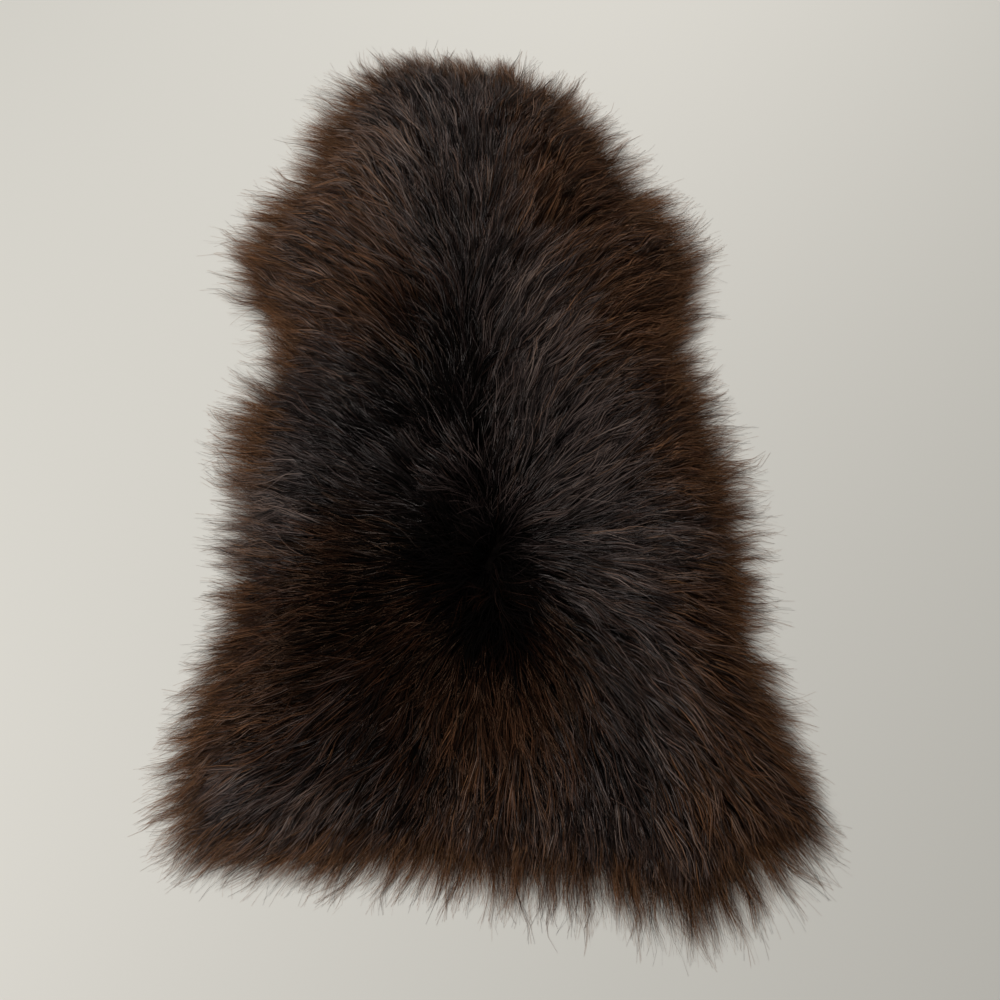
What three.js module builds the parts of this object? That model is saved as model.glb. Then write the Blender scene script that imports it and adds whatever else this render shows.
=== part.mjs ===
// A long-haired sheepskin lying flat on the floor, wool side up.
// It is one piece: a lumpy slab of combed wool, with loose locks lying on the floor all round its rim.
// Millimetres. X runs across the skin, Y along the spine to the head end, Z up, and the floor is Z = 0.

import * as THREE from "three";

// Driving dimensions of the wool
const LOFT = 52; // height of the wool over most of the skin
const RIM_HEIGHT = 13; // height of the dense wool where it ends at the rim
const SHOULDER = 110; // width of the band in which the loft falls to the rim
const ROUNDING = 1.8; // how round that fall is, 1 being a straight slope

// Rings of points lead from the rim up over the shoulder to a narrow strip along the spine
const RINGS = 14;
const SPINE = { halfWidth: 8, halfLength: 345 };
const WIDTH_TO_LENGTH = 0.65; // of the whole skin

// Tufts lie over each other like shingles and make the top lumpy
const TUFT = { pitch: 60, length: 120, halfWidth: 34, lift: 10, peak: 0.72 };

// Locks round the rim have four sides, one of them flat on the floor
const LOCK = { count: 216, middle: 0.5, narrowing: 0.74, lowering: 0.7, bend: 7, sway: 3.5 };

// Rim of the dense wool, anticlockwise from the tail: place, how far the locks reach past it,
// and the heading of the locks in degrees from +X
const RIM = [
  { x: 0, y: -512, reach: 46, heading: 268 }, // tail
  { x: 60, y: -515, reach: 45, heading: 268 },
  { x: 120, y: -527, reach: 36, heading: 272 },
  { x: 175, y: -540, reach: 34, heading: 274 },
  { x: 222, y: -553, reach: 46, heading: 278 },
  { x: 280, y: -530, reach: 64, heading: 296 },
  { x: 322, y: -497, reach: 66, heading: 305 }, // right hind corner
  { x: 362, y: -475, reach: 52, heading: 318 },
  { x: 366, y: -440, reach: 32, heading: 330 },
  { x: 352, y: -385, reach: 30, heading: 335 },
  { x: 328, y: -310, reach: 38, heading: 342 },
  { x: 309, y: -240, reach: 43, heading: 352 }, // right flank
  { x: 303, y: -135, reach: 47, heading: 356 },
  { x: 297, y: -60, reach: 46, heading: 2 },
  { x: 275, y: 15, reach: 42, heading: 10 },
  { x: 250, y: 83, reach: 44, heading: 16 },
  { x: 240, y: 130, reach: 43, heading: 20 }, // right waist
  { x: 255, y: 200, reach: 34, heading: 24 },
  { x: 260, y: 247, reach: 42, heading: 22 }, // right shoulder
  { x: 245, y: 305, reach: 46, heading: 24 },
  { x: 205, y: 358, reach: 56, heading: 24 },
  { x: 165, y: 412, reach: 48, heading: 32 },
  { x: 125, y: 465, reach: 48, heading: 42 },
  { x: 75, y: 515, reach: 42, heading: 62 },
  { x: 20, y: 543, reach: 40, heading: 88 }, // nape
  { x: -50, y: 556, reach: 28, heading: 104 },
  { x: -105, y: 567, reach: 26, heading: 112 },
  { x: -150, y: 545, reach: 34, heading: 124 },
  { x: -190, y: 505, reach: 54, heading: 144 },
  { x: -222, y: 450, reach: 48, heading: 158 },
  { x: -243, y: 387, reach: 48, heading: 164 },
  { x: -285, y: 323, reach: 58, heading: 174 },
  { x: -311, y: 255, reach: 48, heading: 176 }, // left shoulder
  { x: -303, y: 190, reach: 36, heading: 172 },
  { x: -272, y: 133, reach: 30, heading: 176 }, // left waist
  { x: -288, y: 77, reach: 40, heading: 174 },
  { x: -305, y: 20, reach: 42, heading: 172 }, // left flank
  { x: -300, y: -50, reach: 38, heading: 174 },
  { x: -293, y: -135, reach: 38, heading: 180 },
  { x: -302, y: -223, reach: 34, heading: 190 },
  { x: -335, y: -305, reach: 34, heading: 198 },
  { x: -348, y: -395, reach: 54, heading: 198 },
  { x: -342, y: -460, reach: 62, heading: 208 }, // left hind corner
  { x: -312, y: -487, reach: 42, heading: 232 },
  { x: -250, y: -490, reach: 34, heading: 240 },
  { x: -180, y: -493, reach: 30, heading: 246 },
  { x: -120, y: -502, reach: 40, heading: 254 },
  { x: -60, y: -498, reach: 36, heading: 264 },
];

// Headings of the combed wool inside the rim, from the head end to the tail
const COMB = [
  { x: -100, y: 480, heading: 115 },
  { x: 50, y: 465, heading: 65 },
  { x: -150, y: 395, heading: 135 },
  { x: -50, y: 365, heading: 112 },
  { x: 100, y: 415, heading: 50 },
  { x: 50, y: 315, heading: 55 },
  { x: 150, y: 365, heading: 38 },
  { x: -100, y: 215, heading: 140 },
  { x: -220, y: 265, heading: 156 },
  { x: 100, y: 265, heading: 42 },
  { x: 30, y: 165, heading: 60 },
  { x: 190, y: 165, heading: 30 },
  { x: -200, y: 115, heading: 155 },
  { x: 100, y: 135, heading: 45 },
  { x: -150, y: 15, heading: 150 },
  { x: 30, y: 15, heading: 80 },
  { x: 200, y: 15, heading: 37 },
  { x: 100, y: -65, heading: 45 },
  { x: -150, y: -85, heading: 157 },
  { x: 190, y: -95, heading: 12 },
  { x: -150, y: -185, heading: 180 },
  { x: 100, y: -185, heading: 338 },
  { x: 200, y: -185, heading: 350 },
  { x: -200, y: -265, heading: 193 },
  { x: -100, y: -285, heading: 225 },
  { x: 100, y: -265, heading: 310 },
  { x: 200, y: -285, heading: 315 },
  { x: -50, y: -335, heading: 250 },
  { x: 50, y: -285, heading: 290 },
  { x: -200, y: -365, heading: 215 },
  { x: 0, y: -410, heading: 268 },
  { x: 100, y: -385, heading: 285 },
  { x: 250, y: -385, heading: 310 },
  { x: -150, y: -460, heading: 222 },
  { x: 200, y: -465, heading: 282 },
];
const COMB_REACH = 45; // readings nearer than this share their weight

// Valleys where the wool parts along the spine, ending in the whorl over the rump
const VALLEYS = [
  { x: -78, y: 412, radius: 45, depth: 9 },
  { x: 4, y: 290, radius: 50, depth: 12 },
  { x: -48, y: 150, radius: 52, depth: 13 },
  { x: -66, y: 5, radius: 50, depth: 13 },
  { x: -8, y: -85, radius: 52, depth: 15 },
  { x: 6, y: -158, radius: 62, depth: 20 },
  { x: 24, y: -240, radius: 48, depth: 12 },
];

const WOOL = new THREE.MeshStandardMaterial({ color: 0x2c231e, roughness: 0.85, metalness: 0 });

// A repeatable stream of numbers, each from -1 to 1
function randomStream(seed) {
  let state = seed;
  return () => {
    state = (Math.imul(state, 1664525) + 1013904223) >>> 0;
    return state / 2 ** 31 - 1;
  };
}

// Smooth closed curve through two columns of the rim table
function rimCurve(first, second) {
  const points = RIM.map((row) => new THREE.Vector3(row[first], row[second], 0));
  return new THREE.CatmullRomCurve3(points, true);
}

// Direction in which the wool is combed at a point: the readings round it, the nearest ones counting most
const readings = [...RIM, ...COMB].map(({ x, y, heading }) => {
  const angle = THREE.MathUtils.degToRad(heading);
  return { x, y, east: Math.cos(angle), north: Math.sin(angle) };
});

function combedHeading(x, y) {
  let east = 0;
  let north = 0;
  for (const row of readings) {
    const spread = (x - row.x) ** 2 + (y - row.y) ** 2 + COMB_REACH ** 2;
    const weight = 1 / spread ** 2;
    east += row.east * weight;
    north += row.north * weight;
  }
  return Math.atan2(north, east);
}

// Points along the rim, a little unevenly spaced, with the reach of the locks there
function rimPoints() {
  const random = randomStream(11);
  const place = rimCurve("x", "y");
  const reach = rimCurve("reach", "reach");
  return Array.from({ length: LOCK.count }, (_, i) => {
    const share = place.getUtoTmapping((i + 0.5 + 0.2 * random()) / LOCK.count);
    const { x, y } = place.getPoint(share);
    return { x, y, reach: reach.getPoint(share).x };
  });
}

const rim = rimPoints();

function distanceToRim(x, y) {
  return Math.min(...rim.map((point) => Math.hypot(x - point.x, y - point.y)));
}

// Tufts on a staggered grid, each pushed a little off its place
function placeTufts() {
  const random = randomStream(7);
  const push = TUFT.pitch * 0.3;
  const rowPitch = TUFT.pitch * Math.sin(Math.PI / 3);
  const rows = Math.ceil(Math.max(...rim.map((point) => Math.abs(point.y))) / rowPitch);
  const columns = Math.ceil(Math.max(...rim.map((point) => Math.abs(point.x))) / TUFT.pitch);
  const tufts = [];
  for (let row = -rows; row <= rows; row += 1) {
    for (let column = -columns; column <= columns; column += 1) {
      const stagger = row % 2 === 0 ? 0 : TUFT.pitch / 2;
      const x = column * TUFT.pitch + stagger + push * random();
      const y = row * rowPitch + push * random();
      const lift = TUFT.lift * (1 + 0.45 * random());
      tufts.push({ x, y, lift, heading: combedHeading(x, y) });
    }
  }
  return tufts;
}

const tufts = placeTufts();

// A tuft rises slowly from its root and falls off quickly at its tip
function tuftHeight(tuft, x, y) {
  const ahead = Math.cos(tuft.heading);
  const aside = Math.sin(tuft.heading);
  const along = ((x - tuft.x) * ahead + (y - tuft.y) * aside) / TUFT.length + 0.5;
  const across = ((y - tuft.y) * ahead - (x - tuft.x) * aside) / TUFT.halfWidth;
  if (along <= 0 || along >= 1 || Math.abs(across) >= 1) {
    return 0;
  }
  const ramp = along < TUFT.peak ? along / TUFT.peak : (1 - along) / (1 - TUFT.peak);
  return tuft.lift * ramp * (1 - across * across);
}

function valleyDepth(x, y) {
  const depths = VALLEYS.map((valley) => {
    const spread = Math.hypot(x - valley.x, y - valley.y) / valley.radius;
    return valley.depth * Math.exp(-spread * spread);
  });
  return Math.max(...depths);
}

// Height of the wool: a dome with a round shoulder, lowered in the valleys and raised by the tufts
function woolHeight(x, y) {
  const inside = Math.min(distanceToRim(x, y) / SHOULDER, 1);
  const dome = 1 - (1 - inside) ** ROUNDING;
  const lumps = Math.max(...tufts.map((tuft) => tuftHeight(tuft, x, y)));
  return RIM_HEIGHT + (LOFT - RIM_HEIGHT - valleyDepth(x, y) + lumps) * dome;
}

// Points and triangles of one closed surface
class Surface {
  positions = [];
  triangles = [];

  point(x, y, z) {
    this.positions.push(x, y, z);
    return this.positions.length / 3 - 1;
  }

  triangle(a, b, c) {
    this.triangles.push(a, b, c);
  }

  quad(a, b, c, d) {
    this.triangle(a, b, c);
    this.triangle(a, c, d);
  }

  geometry() {
    const made = new THREE.BufferGeometry();
    made.setAttribute("position", new THREE.Float32BufferAttribute(this.positions, 3));
    made.setIndex(this.triangles);
    made.computeVertexNormals();
    return made;
  }
}

// Plan of one ring: the rim, drawn in by a share of the way to the strip along the spine
function ringPlan(share) {
  return rim.map(({ x, y }) => {
    const angle = Math.atan2(y * WIDTH_TO_LENGTH, x);
    const spine = new THREE.Vector2(SPINE.halfWidth * Math.cos(angle), SPINE.halfLength * Math.sin(angle));
    return new THREE.Vector2(x, y).lerp(spine, share);
  });
}

// Joins the right and left sides of the last ring along the spine, from the tail to the head
function addSpine(surface, plan, ring) {
  let right = 0;
  let left = ring.length - 1;
  while (left - right > 1) {
    if (plan[right + 1].y < plan[left - 1].y) {
      surface.triangle(ring[right], ring[right + 1], ring[left]);
      right += 1;
    } else {
      surface.triangle(ring[right], ring[left - 1], ring[left]);
      left -= 1;
    }
  }
}

// The lumpy top, from the rim to the spine; returns the ring of points on the rim
function addTop(surface) {
  let plan = ringPlan(0);
  const rimTop = plan.map(({ x, y }) => surface.point(x, y, RIM_HEIGHT));
  let outer = rimTop;
  for (let step = 1; step <= RINGS; step += 1) {
    plan = ringPlan(step / RINGS);
    const inner = plan.map(({ x, y }) => surface.point(x, y, woolHeight(x, y)));
    for (let i = 0; i < inner.length; i += 1) {
      const next = (i + 1) % inner.length;
      surface.quad(outer[i], outer[next], inner[next], inner[i]);
    }
    outer = inner;
  }
  addSpine(surface, plan, outer);
  return rimTop;
}

// The flat underside; returns the ring of points on the floor
function addUnderside(surface) {
  const plan = ringPlan(0);
  const rimFloor = plan.map(({ x, y }) => surface.point(x, y, 0));
  for (const [a, b, c] of THREE.ShapeUtils.triangulateShape(plan, [])) {
    surface.triangle(rimFloor[a], rimFloor[c], rimFloor[b]);
  }
  return rimFloor;
}

// One lock between two neighbours on the rim, narrowing to a point on the floor
function addLock(surface, root, start, end, random) {
  const middle = { x: (start.x + end.x) / 2, y: (start.y + end.y) / 2 };
  const sway = THREE.MathUtils.degToRad(LOCK.sway * random());
  const heading = combedHeading(middle.x, middle.y) + sway;
  const ahead = { x: Math.cos(heading), y: Math.sin(heading) };
  const right = { x: ahead.y, y: -ahead.x };
  const length = start.reach * (0.85 + 0.25 * random());
  const bend = LOCK.bend * random();
  const rootWidth = Math.abs((end.x - start.x) * right.x + (end.y - start.y) * right.y);
  const along = length * LOCK.middle;
  const aside = bend * LOCK.middle ** 2;
  const half = (rootWidth * LOCK.narrowing) / 2;
  const spot = (forward, side, up) => {
    const x = middle.x + ahead.x * forward + right.x * side;
    const y = middle.y + ahead.y * forward + right.y * side;
    return surface.point(x, y, up);
  };
  const ridge = RIM_HEIGHT * LOCK.lowering;
  const waist = {
    startFloor: spot(along, aside + half, 0),
    endFloor: spot(along, aside - half, 0),
    startTop: spot(along, aside + half, ridge),
    endTop: spot(along, aside - half, ridge),
  };
  const tip = spot(length, bend, 0);
  surface.quad(root.startTop, waist.startTop, waist.endTop, root.endTop);
  surface.quad(root.startFloor, root.endFloor, waist.endFloor, waist.startFloor);
  surface.quad(root.startFloor, waist.startFloor, waist.startTop, root.startTop);
  surface.quad(root.endFloor, root.endTop, waist.endTop, waist.endFloor);
  surface.triangle(waist.startTop, tip, waist.endTop);
  surface.triangle(waist.startFloor, waist.endFloor, tip);
  surface.triangle(waist.startFloor, tip, waist.startTop);
  surface.triangle(waist.endFloor, waist.endTop, tip);
}

function sheepskinGeometry() {
  const surface = new Surface();
  const random = randomStream(23);
  const top = addTop(surface);
  const floor = addUnderside(surface);
  rim.forEach((start, i) => {
    const next = (i + 1) % rim.length;
    const root = { startTop: top[i], endTop: top[next], startFloor: floor[i], endFloor: floor[next] };
    addLock(surface, root, start, rim[next], random);
  });
  return surface.geometry();
}

const fleece = new THREE.Mesh(sheepskinGeometry(), WOOL);
fleece.name = "sheepskin";

const sheepskin = new THREE.Group();
sheepskin.add(fleece);

export default sheepskin;
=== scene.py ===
"""Looks of a long-haired sheepskin lying flat: suede hide, dark under-wool and combed hair on top of it."""

import math

import bpy
import numpy as np
from mathutils import Matrix, Vector


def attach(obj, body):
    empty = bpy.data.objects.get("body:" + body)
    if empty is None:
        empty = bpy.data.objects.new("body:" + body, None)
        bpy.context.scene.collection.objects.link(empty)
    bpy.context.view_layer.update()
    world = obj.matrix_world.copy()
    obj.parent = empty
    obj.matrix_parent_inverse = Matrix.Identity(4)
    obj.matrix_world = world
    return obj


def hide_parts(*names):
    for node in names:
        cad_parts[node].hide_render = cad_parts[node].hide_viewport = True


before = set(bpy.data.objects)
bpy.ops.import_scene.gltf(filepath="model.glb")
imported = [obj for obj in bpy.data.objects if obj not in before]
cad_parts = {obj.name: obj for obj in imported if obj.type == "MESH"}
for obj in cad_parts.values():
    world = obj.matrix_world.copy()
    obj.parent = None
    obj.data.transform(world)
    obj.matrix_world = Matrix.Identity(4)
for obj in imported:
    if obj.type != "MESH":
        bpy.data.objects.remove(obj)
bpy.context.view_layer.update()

# Sizes are in millimetres, as on the solid, and MM turns them into metres
MM = 0.001
FULL_TURN = 2 * math.pi
TINY = 1e-6  # the least length that anything is divided by

# Form of the wool
LOFT = 52  # height of the wool over most of the skin
RIM_HEIGHT = 13  # height of the dense wool where it ends at the rim
SHOULDER = 110  # width of the band in which the loft falls to the rim
ROUNDING = 1.8  # how round that fall is, 1 being a straight slope
DEEPEST_VALLEY = 22
PARTING_WIDTH = 17  # distance from the line at which the parting fades
PARTING_DEPTH = 9
PARTING_PUSH = 0.45  # how strongly the wool beside a parting is combed away from it
COMB_REACH = 45  # readings of the combing nearer than this share their weight

# Rim, hide and under-wool
CURVE_STEPS = 40  # points on the rim's curve for each row of its table
RIM_STEPS = 720  # evenly spaced points round the rim
NORMAL_SPAN = 4  # points to each side from which the rim's direction at a point is taken
EDGE_EVERY = 3  # the hide's edge takes every third of the rim's points
HIDE_INSET = 14  # how far the hide's cut edge lies inside the rim of the dense wool
HIDE_THICKNESS = 2.2
HIDE_LIFT = 0.3  # the hide's flesh side lies this far above the floor
HIDE_TOP = HIDE_LIFT + HIDE_THICKNESS
HIDE_RINGS = 8  # rings of points from the edge to the spine
UNDERWOOL_RINGS = 26
UNDERWOOL_GAP = 0.1  # between the hide and the under-wool
UNDERWOOL_SHARE = 0.42  # height of the under-wool as a share of the loft
UNDERWOOL_EDGE = 3.2  # its height at the hide's edge
UNDERWOOL_VALLEY = 0.6  # depth of its valleys as a share of the wool's
WIDTH_TO_LENGTH = 0.65  # of the whole skin
SPINE_HALF_WIDTH = 8  # of the strip along the spine where the rings of points end
SPINE_HALF_LENGTH = 345

# Roots of the hair, which is drawn as tapered ribbons gathered in locks
FIELD_HALF_WIDTH = 380  # of the field over which roots are scattered
FIELD_HALF_LENGTH = 600
JITTER = 0.45  # how far a root is pushed off its grid point, as a share of the pitch
TUFT_PITCH = 16  # tufts are groups of locks that lie together
LOCK_PITCH = 9.0
LOCK_SPREAD = 5.8  # radius in which a lock's hairs are rooted
HAIRS_A_LOCK = 10
FRINGE_PITCH = 8.5  # groups of fine single hairs that make the fringe
FRINGE_BAND = 45  # width of the band inside the rim where they are rooted
FRINGE_SPREAD = 9  # radius in which the hairs of one group are rooted
ROOT_DEPTH = 2  # how deep the roots sit in the under-wool

# How tufts differ by chance: spreads about their surroundings, and ranges as pairs
TUFT_TURN = 0.11
TUFT_LIFT = 0.09
TUFT_LENGTH = 0.10
TUFT_TONE = 0.06
TUFT_PULL = (0.2, 0.9)  # how far a tuft draws its locks to its middle line
TUFT_WAVE = (1, 4.5)  # swing of the hairs to each side
TUFT_WAVE_LENGTH = (50, 95)

# How locks differ by chance, and drifts over the skin as pairs of size and pitch
LOCK_TURN = 0.06
LOCK_LENGTH = 0.08
LOCK_TONE = 0.115
LOCK_PHASE = 0.35
LOCK_BEND = 0.18
LOCK_LIFT = (0.62, 1.06)
LOCK_WAVE = (0.7, 1.3)
LOCK_WAVE_LENGTH = (0.9, 1.1)
HEADING_DRIFT = (0.14, 55)
LENGTH_DRIFT = (0.10, 60)
LIFT_DRIFT = (0.08, 42)
TONE_DRIFT = (0.06, 70)

# Lie of the locks
RIM_BAND = 80  # width of the band that counts as near the rim
SIDE_WIDTH = 200  # distance from the spine at which the rim's locks lie smoothest right and roughest left
CALM_TURN = (0.6, 0.3)  # how much less tufts turn near the rim, and how much less again on the right
CALM_PULL = (0.5, 0.4)
CALM_GATHER = (0.4, 0.4)
UPRIGHT_VALLEY = 20  # depth of a valley in which the wool stands up
UPRIGHT_PARTING = 0.4  # how far it stands up on a parting
UPRIGHT_SHORTER = 0.35  # how much shorter it is where it stands up
TURN_AHEAD = 70  # how far ahead a lock finds the heading that it bends to
SHARPEST_TURN = 0.9
SLOPE_SPAN = 10  # half of the stretch over which the way to the rim is measured
LEAST_OUTWARD = 0.35  # locks that lie along the rim count as facing it at least this much
WISP_SHARE = 0.3  # locks near the rim that run out past the dense wool
LOOSE_REACH = (0.4, 1.3)  # how far wisps and fringe pass the rim, as a share of the rim's reach
DENSE_REACH = (-0.32, 0.22)
WISP_REACH = 0.3  # added for a wisp
SHORTEST_LOCK = 0.3  # as a share of the hair's length
OPEN_LOCKS = 0.5  # share of locks whose hairs draw together only a little
OPEN_GATHER = (0.3, 0.7)
TIGHT_GATHER = (0.75, 0.96)
ROOT_ANGLE = (20, 30, 26)  # degrees above the floor at the rim, added on the loft, added where it stands up
TIP_ANGLE = (-26, 20, 26)
WAVE_AT_RIM = 0.2  # how much more the locks wave near the rim
LOCK_SCATTER = 0.04  # spread of headings in a lock
FRINGE_SCATTER = 0.10
FRINGE_THINNESS = 0.37
WISP_THINNESS = 0.54

# Tone of the locks, from 0 for black to 1 for the lightest, and the share of warm hairs in them
SEEN_SHARE = 0.7  # share of a lock's length at which its tone is taken
TIP_BAND = 30  # width of the band at the rim where tips are lighter and warmer
BASE_TONE = 0.39
RIM_TONE = 0.06
# painted shade: hairs on the partings are coloured darker, where the parting lies in shade
PAINTED_PARTING_SHADE = 0.12
LOOSE_TONE = 0.28
BASE_RUST = 0.02
RIM_RUST = 0.15
LOOSE_RUST = 0.6
MATT_TINT = 0.8  # how matt the wool is for each unit of black tint

# Hairs
HAIR_LENGTH = 104
HAIR_WIDTH = 1.28
TIP_WIDTH = 0.16
TAPER = 2.6  # how late along its length a hair grows thin
HAIR_SHARES = np.array((0.0, 0.28, 0.48, 0.66, 0.83, 1.0))  # shares of the length where a ribbon has points
ROUND_SHADING = math.radians(60)  # how far a ribbon's edge normals lean, so that it shades as a round hair
RIBBON_ROLL = 0.7  # spread of the ribbons' turns about their length
FLOOR_CLEARANCE = 0.5  # of a hair's middle line
EDGE_CLEARANCE = 0.2  # of its edges
WIDTH_RANGE = (0.7, 1.25)  # of the hairs of a lock, as shares of the width
SHORT_HAIR = 0.8  # the shortest hair of a lock, as a share of the lock's length
SHORTER_AT_RIM = 0.3
LONG_HAIR = 1.06
HAIR_BEND = 0.05
HAIR_SWING = (0.85, 1.15)
HAIR_PHASE = 0.2
HAIR_LIFT = 0.02
WAVE_GROWTH = 0.7  # how waves and pull grow along a hair, 1 being evenly
PULL_GROWTH = 1.3
LOCK_CROWN = 1.03  # height along the middle of a lock, and how much lower its sides are
LOCK_FALL = 0.16
MATT_SCATTER = 0.5  # spread of headings that matt wool adds
STRAND_CONTRAST = 0.50  # spread of tones among the hairs of a lock
MATT_CALM = 0.35  # how much smaller that spread is on matt wool

# Stray hairs, which leave their lock
STRAY_SHARE = 0.06
STRAY_GATHER = (-0.6, 0.2)
STRAY_SCATTER = 0.22
STRAY_SLOPE = 0.10
STRAY_BEND = 0.4
STRAY_PULL = 0.2
STRAY_LIFT = 0.06
STRAY_THINNESS = 0.65

# Colours of the hair, on a chart with a band of tones for each shade and the hair's length up it
SHADES = 3  # brown, umber and rust
SHADE_MIXING = 0.35  # how far a hair's warmth differs from that of the wool round it
MATT = SHADES  # the kind of hair after the three shades, in the order of their materials
MATT_SHARE = 1.3  # how soon matt wool has only matt hairs
TONES = 32  # columns of the chart for each shade
LIGHTEST = 0.999  # of the tones, so that the lightest hair stays in its band
BAND_GAP = 0.001  # between the bands
COLUMN_SIDES = (0.15, 0.85)  # where a ribbon's edges lie in their column
CHART_FOOT = 0.02  # where the roots lie on the chart
CHART_HEIGHT = 0.96
CHART_LAYER = "OFBake"
BROWN_TONES = (
    (0.0010, 0.0008, 0.0008), (0.0042, 0.0029, 0.0028), (0.0190, 0.0130, 0.0125),
    (0.0540, 0.0385, 0.0360), (0.120, 0.088, 0.080), (0.230, 0.175, 0.150),
)
RUST_TONES = (
    (0.0010, 0.0007, 0.0006), (0.0066, 0.0024, 0.0013), (0.024, 0.0092, 0.0046),
    (0.060, 0.0252, 0.0132), (0.124, 0.057, 0.029), (0.225, 0.113, 0.056),
)
# Factor on the colour from root to tip: the roots are darkened as painted shade deep in the wool, and the
# tips are lighter
ROOT_SHADE_TO_TIP = ((0.0, (0.15, 0.14, 0.14)), (0.45, (0.45, 0.44, 0.43)), (1.0, (1.5, 1.4, 1.3)))
SHEEN_TINT = (1.0, 0.87, 0.82, 1)

# Finish of each kind of hair: name, roughness, specular level and tint of the sheen
HAIR_FINISH = (
    ("brown_hair", 0.36, 0.5, SHEEN_TINT),
    ("umber_hair", 0.36, 0.5, (1.0, 0.72, 0.58, 1)),
    ("rust_hair", 0.36, 0.5, (1.0, 0.56, 0.34, 1)),
    ("matt_hair", 0.7, 0.05, SHEEN_TINT),
)
WOOL_PIECES = ("wool_head", "wool_shoulders", "wool_waist", "wool_flanks", "wool_rump", "wool_tail")

# Rim of the dense wool, anticlockwise from the tail: place, how far the locks reach past it,
# and the heading of the locks in degrees from +X
RIM = np.array([
    (0, -499, 54, 268), (60, -500, 54, 268), (120, -505, 62, 272), (175, -517, 64, 274),
    (222, -534, 68, 278), (268, -508, 74, 296), (308, -480, 72, 305), (350, -461, 60, 318),
    (366, -440, 42, 330), (349, -387, 34, 335), (321, -312, 44, 342), (300, -240, 50, 352),
    (294, -135, 54, 356), (286, -60, 58, 2), (267, 15, 52, 10), (246, 83, 54, 16),
    (236, 130, 52, 20), (252, 200, 54, 24), (255, 246, 66, 22), (238, 302, 60, 24),
    (196, 352, 66, 24), (161, 409, 58, 32), (130, 474, 54, 42), (78, 528, 46, 62),
    (22, 556, 42, 86), (-50, 568, 34, 100), (-108, 576, 32, 112), (-155, 552, 46, 126),
    (-192, 508, 64, 144), (-222, 450, 58, 158), (-243, 387, 48, 164), (-281, 321, 58, 158),
    (-306, 254, 62, 152), (-299, 190, 54, 152), (-262, 130, 44, 156), (-271, 77, 60, 156),
    (-293, 18, 56, 157), (-296, -50, 50, 160), (-291, -135, 46, 168), (-298, -223, 42, 182),
    (-324, -304, 42, 194), (-338, -390, 50, 198), (-332, -456, 50, 206), (-305, -483, 46, 216),
    (-250, -490, 40, 220), (-180, -493, 38, 228), (-120, -489, 50, 240), (-60, -487, 50, 258),
], dtype=[("x", float), ("y", float), ("reach", float), ("heading", float)])

# Headings of the combed wool inside the rim, from the head end to the tail
COMB = np.array([
    (-100, 480, 115), (0, 490, 90), (50, 465, 65), (-5, 410, 92), (5, 320, 84), (-150, 395, 135),
    (-50, 365, 112), (100, 415, 50), (50, 315, 55), (150, 365, 38), (-100, 215, 140), (-220, 265, 156),
    (100, 265, 42), (30, 165, 60), (190, 165, 30), (-200, 115, 155), (100, 135, 45), (-150, 15, 150),
    (30, 15, 80), (200, 15, 37), (100, -65, 45), (-150, -85, 157), (190, -95, 12), (-150, -185, 180),
    (100, -185, 338), (200, -185, 350), (-200, -265, 193), (-100, -285, 225), (100, -265, 310),
    (200, -285, 315), (-50, -335, 250), (50, -285, 290), (-200, -365, 215), (-40, -140, 180),
    (-35, -90, 150), (-30, -200, 215), (40, -100, 40), (45, -150, 0), (40, -200, 320),
    (0, -410, 268), (100, -385, 285), (250, -385, 310), (-150, -460, 222), (200, -465, 282),
], dtype=[("x", float), ("y", float), ("heading", float)])

# Valleys where the wool parts along the spine, ending in the whorl over the rump
VALLEYS = np.array([
    (-78, 412, 45, 9), (-60, 300, 55, 9), (-70, 155, 58, 13), (-66, 5, 50, 8),
    (-20, -85, 46, 14), (-6, -158, 52, 20), (20, -240, 44, 12),
], dtype=[("x", float), ("y", float), ("radius", float), ("depth", float)])

# Lines along which the wool parts: down the back, on to the whorl, and between the left haunch and the rump
PARTINGS = [
    [(-31, 122), (-20, 48), (-32, 24), (-74, -18), (-97, -41)],
    [(-20, 48), (-14, -12), (0, -72), (10, -122), (0, -170), (12, -238)],
    [(-95, -298), (-79, -375), (-66, -427)],
]

# Tints of the wool: where it is lighter (above 0) or blacker (below 0) than the rest
TINTS = np.array([
    (5, 460, 70, -0.15), (-98, 390, 45, -0.20), (-50, 300, 62, -0.27), (-120, 170, 85, -0.20),
    (-95, 120, 80, -0.34), (-18, 110, 45, -0.18), (-195, 14, 90, -0.38), (-228, -88, 38, -0.20),
    (-150, -130, 70, -0.14), (-70, -150, 100, -0.31), (70, -248, 88, -0.32), (-32, -282, 60, -0.20),
    (-180, -258, 135, -0.43), (194, -274, 45, -0.16), (205, 250, 55, -0.12), (203, 61, 45, -0.10),
    (155, -420, 70, -0.22), (20, -400, 100, -0.08), (-115, -455, 45, -0.13), (-265, -408, 60, -0.10),
    (-200, 420, 95, 0.32), (-290, 260, 110, 0.24), (-350, 30, 45, 0.26), (-245, 70, 42, 0.12),
    (-288, -60, 60, 0.20), (-285, -122, 40, 0.22), (-290, -320, 60, 0.16), (-340, -400, 80, 0.06),
    (112, 158, 70, 0.16), (-190, 285, 60, -0.08), (48, -97, 35, 0.14), (247, -156, 45, 0.10),
    (270, -268, 60, 0.17), (282, -420, 75, 0.13), (250, -470, 45, 0.10), (50, -402, 45, 0.15),
    (36, -468, 40, 0.19), (250, 240, 70, 0.05),
], dtype=[("x", float), ("y", float), ("radius", float), ("tint", float)])

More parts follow.
